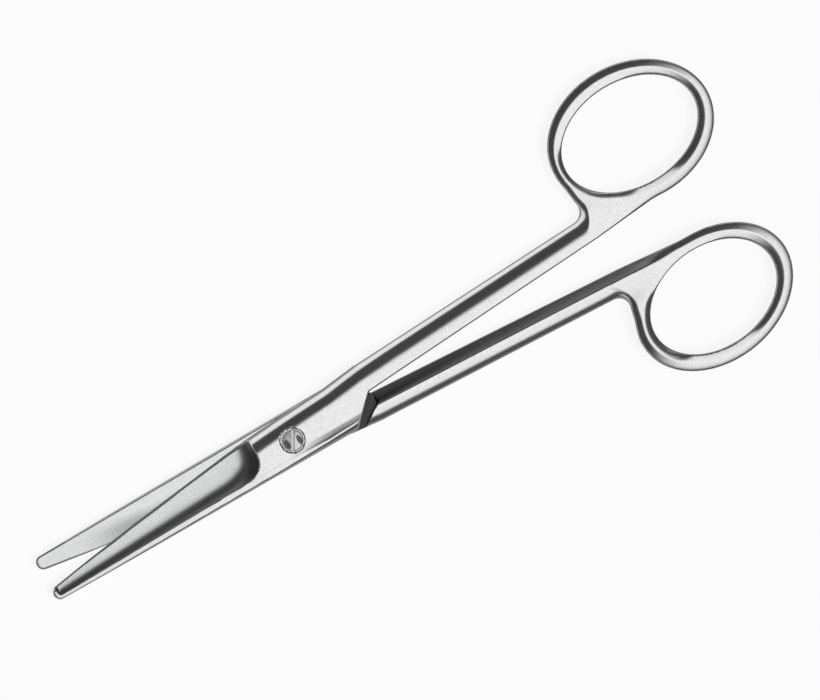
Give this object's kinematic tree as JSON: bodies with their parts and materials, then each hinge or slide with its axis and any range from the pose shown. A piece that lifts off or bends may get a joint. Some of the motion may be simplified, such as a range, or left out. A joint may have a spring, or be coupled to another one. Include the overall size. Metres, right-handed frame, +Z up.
{
  "type": "dissecting scissors",
  "caption": "Dissecting scissors: straight blunt blades with a hollow-ground outer face, slim shanks, oval finger rings and a slotted pivot screw.",
  "frame": {"origin": "on the axis of the pivot screw, level with the flat underside of the lower half, on which the scissors lie", "axes": "+X along the middle line towards the tips, +Z up along the screw to its slotted head, +Y towards the ring of the lower half"},
  "size_m": [0.169, 0.0658, 0.006],
  "materials": {
    "instrument_steel": "polished stainless steel, with fine grinding marks on the flat and hollow faces of the blades",
    "screw_steel": "turned and polished stainless steel"
  },
  "bodies": {
    "lower": {"lower_half": "instrument_steel", "pivot_screw": "screw_steel"},
    "upper": {"upper_half": "instrument_steel"}
  },
  "joints": [
    {"name": "pivot", "type": "hinge", "parent": "lower", "child": "upper", "pos_m": [0, 0, 0.0029], "axis": [0, 0, 1], "range_deg": [-6, 60]}
  ]
}
